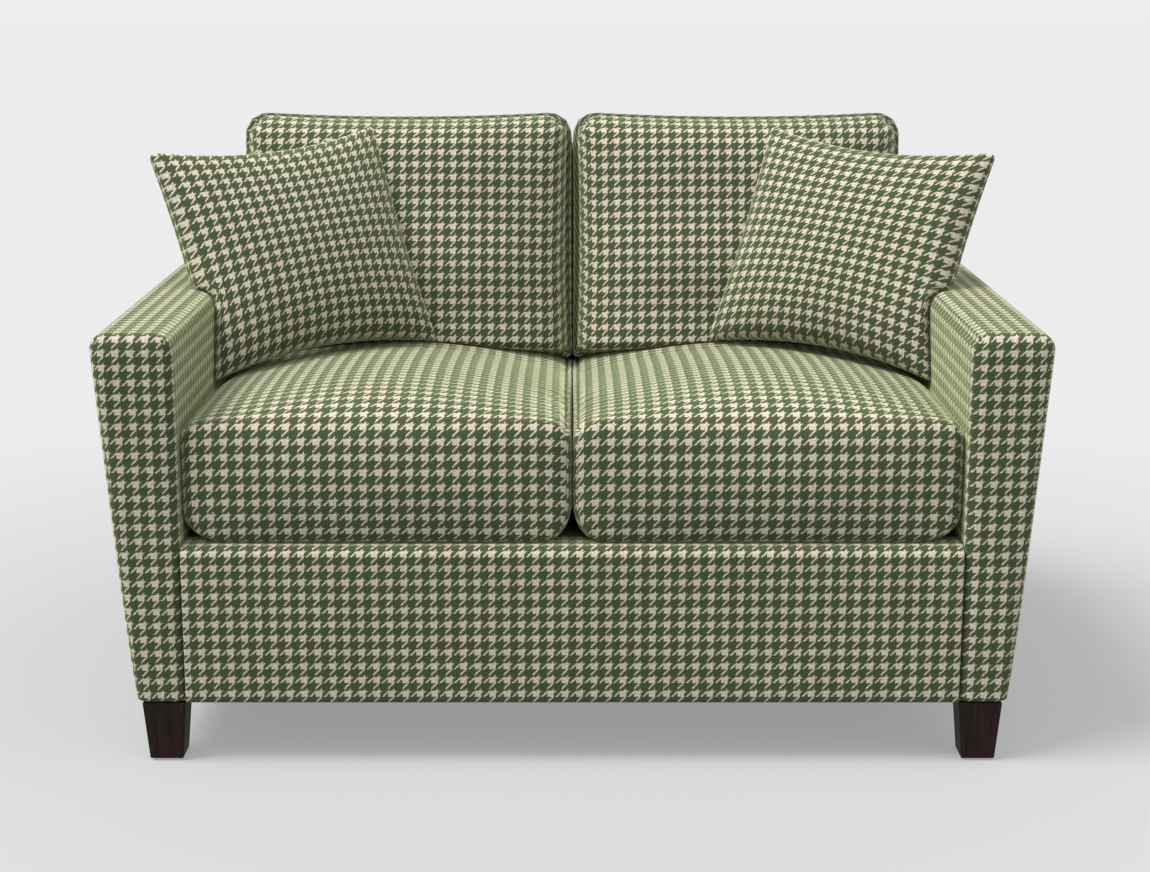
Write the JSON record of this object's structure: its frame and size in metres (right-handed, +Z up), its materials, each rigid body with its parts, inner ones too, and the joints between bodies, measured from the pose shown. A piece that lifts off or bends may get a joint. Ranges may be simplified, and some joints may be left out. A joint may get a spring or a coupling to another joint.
{
  "type": "two-seat sofa",
  "caption": "Compact upholstered sofa with slim flared arms, loose box cushions, square scatter cushions and tapered wooden feet.",
  "frame": {"origin": "on the floor below the middle of the overall box", "axes": "+Z up, +X to the right seen from in front, the front of the sofa faces -Y"},
  "size_m": [1.3358, 0.92, 0.8704],
  "materials": {
    "upholstery": "matte",
    "seat_cushions": "matte",
    "back_cushions": "matte",
    "scatter_cushions": "matte",
    "frame_timber": "matte",
    "plywood": "matte",
    "back_webbing": "matte",
    "seat_springs": "satin",
    "feet": "satin",
    "foot_bolts": "satin",
    "foot_glides": "matte",
    "platform": "matte",
    "lining": "matte"
  },
  "bodies": {
    "frame": {"front_border": "upholstery", "inside_back_cover": "upholstery", "outside_back_cover": "upholstery", "arm_cover_left": "upholstery", "arm_cover_right": "upholstery", "base_front_rail": "frame_timber", "base_back_rail": "frame_timber", "base_spring_rail": "frame_timber", "base_centre_rail": "frame_timber", "back_top_rail": "frame_timber", "arm_front_post_left": "frame_timber", "arm_back_post_left": "frame_timber", "arm_top_rail_left": "frame_timber", "base_side_rail_left": "frame_timber", "corner_block_front_left": "frame_timber", "corner_block_back_left": "frame_timber", "arm_front_post_right": "frame_timber", "arm_back_post_right": "frame_timber", "arm_top_rail_right": "frame_timber", "base_side_rail_right": "frame_timber", "corner_block_front_right": "frame_timber", "corner_block_back_right": "frame_timber", "back_centre_upright": "plywood", "back_upright_left": "plywood", "back_upright_right": "plywood", "back_strap_1": "back_webbing", "back_strap_2": "back_webbing", "back_strap_3": "back_webbing", "back_strap_4": "back_webbing", "seat_spring_left_1": "seat_springs", "seat_spring_left_2": "seat_springs", "seat_spring_left_3": "seat_springs", "seat_spring_left_4": "seat_springs", "seat_spring_right_1": "seat_springs", "seat_spring_right_2": "seat_springs", "seat_spring_right_3": "seat_springs", "seat_spring_right_4": "seat_springs", "foot_front_left": "feet", "foot_back_left": "feet", "foot_front_right": "feet", "foot_back_right": "feet", "foot_bolt_front_left": "foot_bolts", "foot_bolt_back_left": "foot_bolts", "foot_bolt_front_right": "foot_bolts", "foot_bolt_back_right": "foot_bolts", "foot_glide_front_left": "foot_glides", "foot_glide_back_left": "foot_glides", "foot_glide_front_right": "foot_glides", "foot_glide_back_right": "foot_glides", "seat_platform": "platform", "dust_cover": "lining"},
    "seat_left": {"seat_cushion_left": "seat_cushions"},
    "back_left": {"back_cushion_left": "back_cushions"},
    "scatter_left": {"scatter_cushion_left": "scatter_cushions"},
    "seat_right": {"seat_cushion_right": "seat_cushions"},
    "back_right": {"back_cushion_right": "back_cushions"},
    "scatter_right": {"scatter_cushion_right": "scatter_cushions"}
  },
  "joints": [
    {"name": "seat_left_pull", "type": "slide", "parent": "frame", "child": "seat_left", "axis": [0, -1, 0], "range_m": [0, 0.35]},
    {"name": "back_left_lift", "type": "slide", "parent": "frame", "child": "back_left", "axis": [0, 0.2419, 0.9703], "range_m": [0, 0.4]},
    {"name": "scatter_left_lift", "type": "slide", "parent": "back_left", "child": "scatter_left", "axis": [0, -0.342, 0.9397], "range_m": [0, 0.25]},
    {"name": "seat_right_pull", "type": "slide", "parent": "frame", "child": "seat_right", "axis": [0, -1, 0], "range_m": [0, 0.35]},
    {"name": "back_right_lift", "type": "slide", "parent": "frame", "child": "back_right", "axis": [0, 0.2419, 0.9703], "range_m": [0, 0.4]},
    {"name": "scatter_right_lift", "type": "slide", "parent": "back_right", "child": "scatter_right", "axis": [0, -0.342, 0.9397], "range_m": [0, 0.25]}
  ]
}
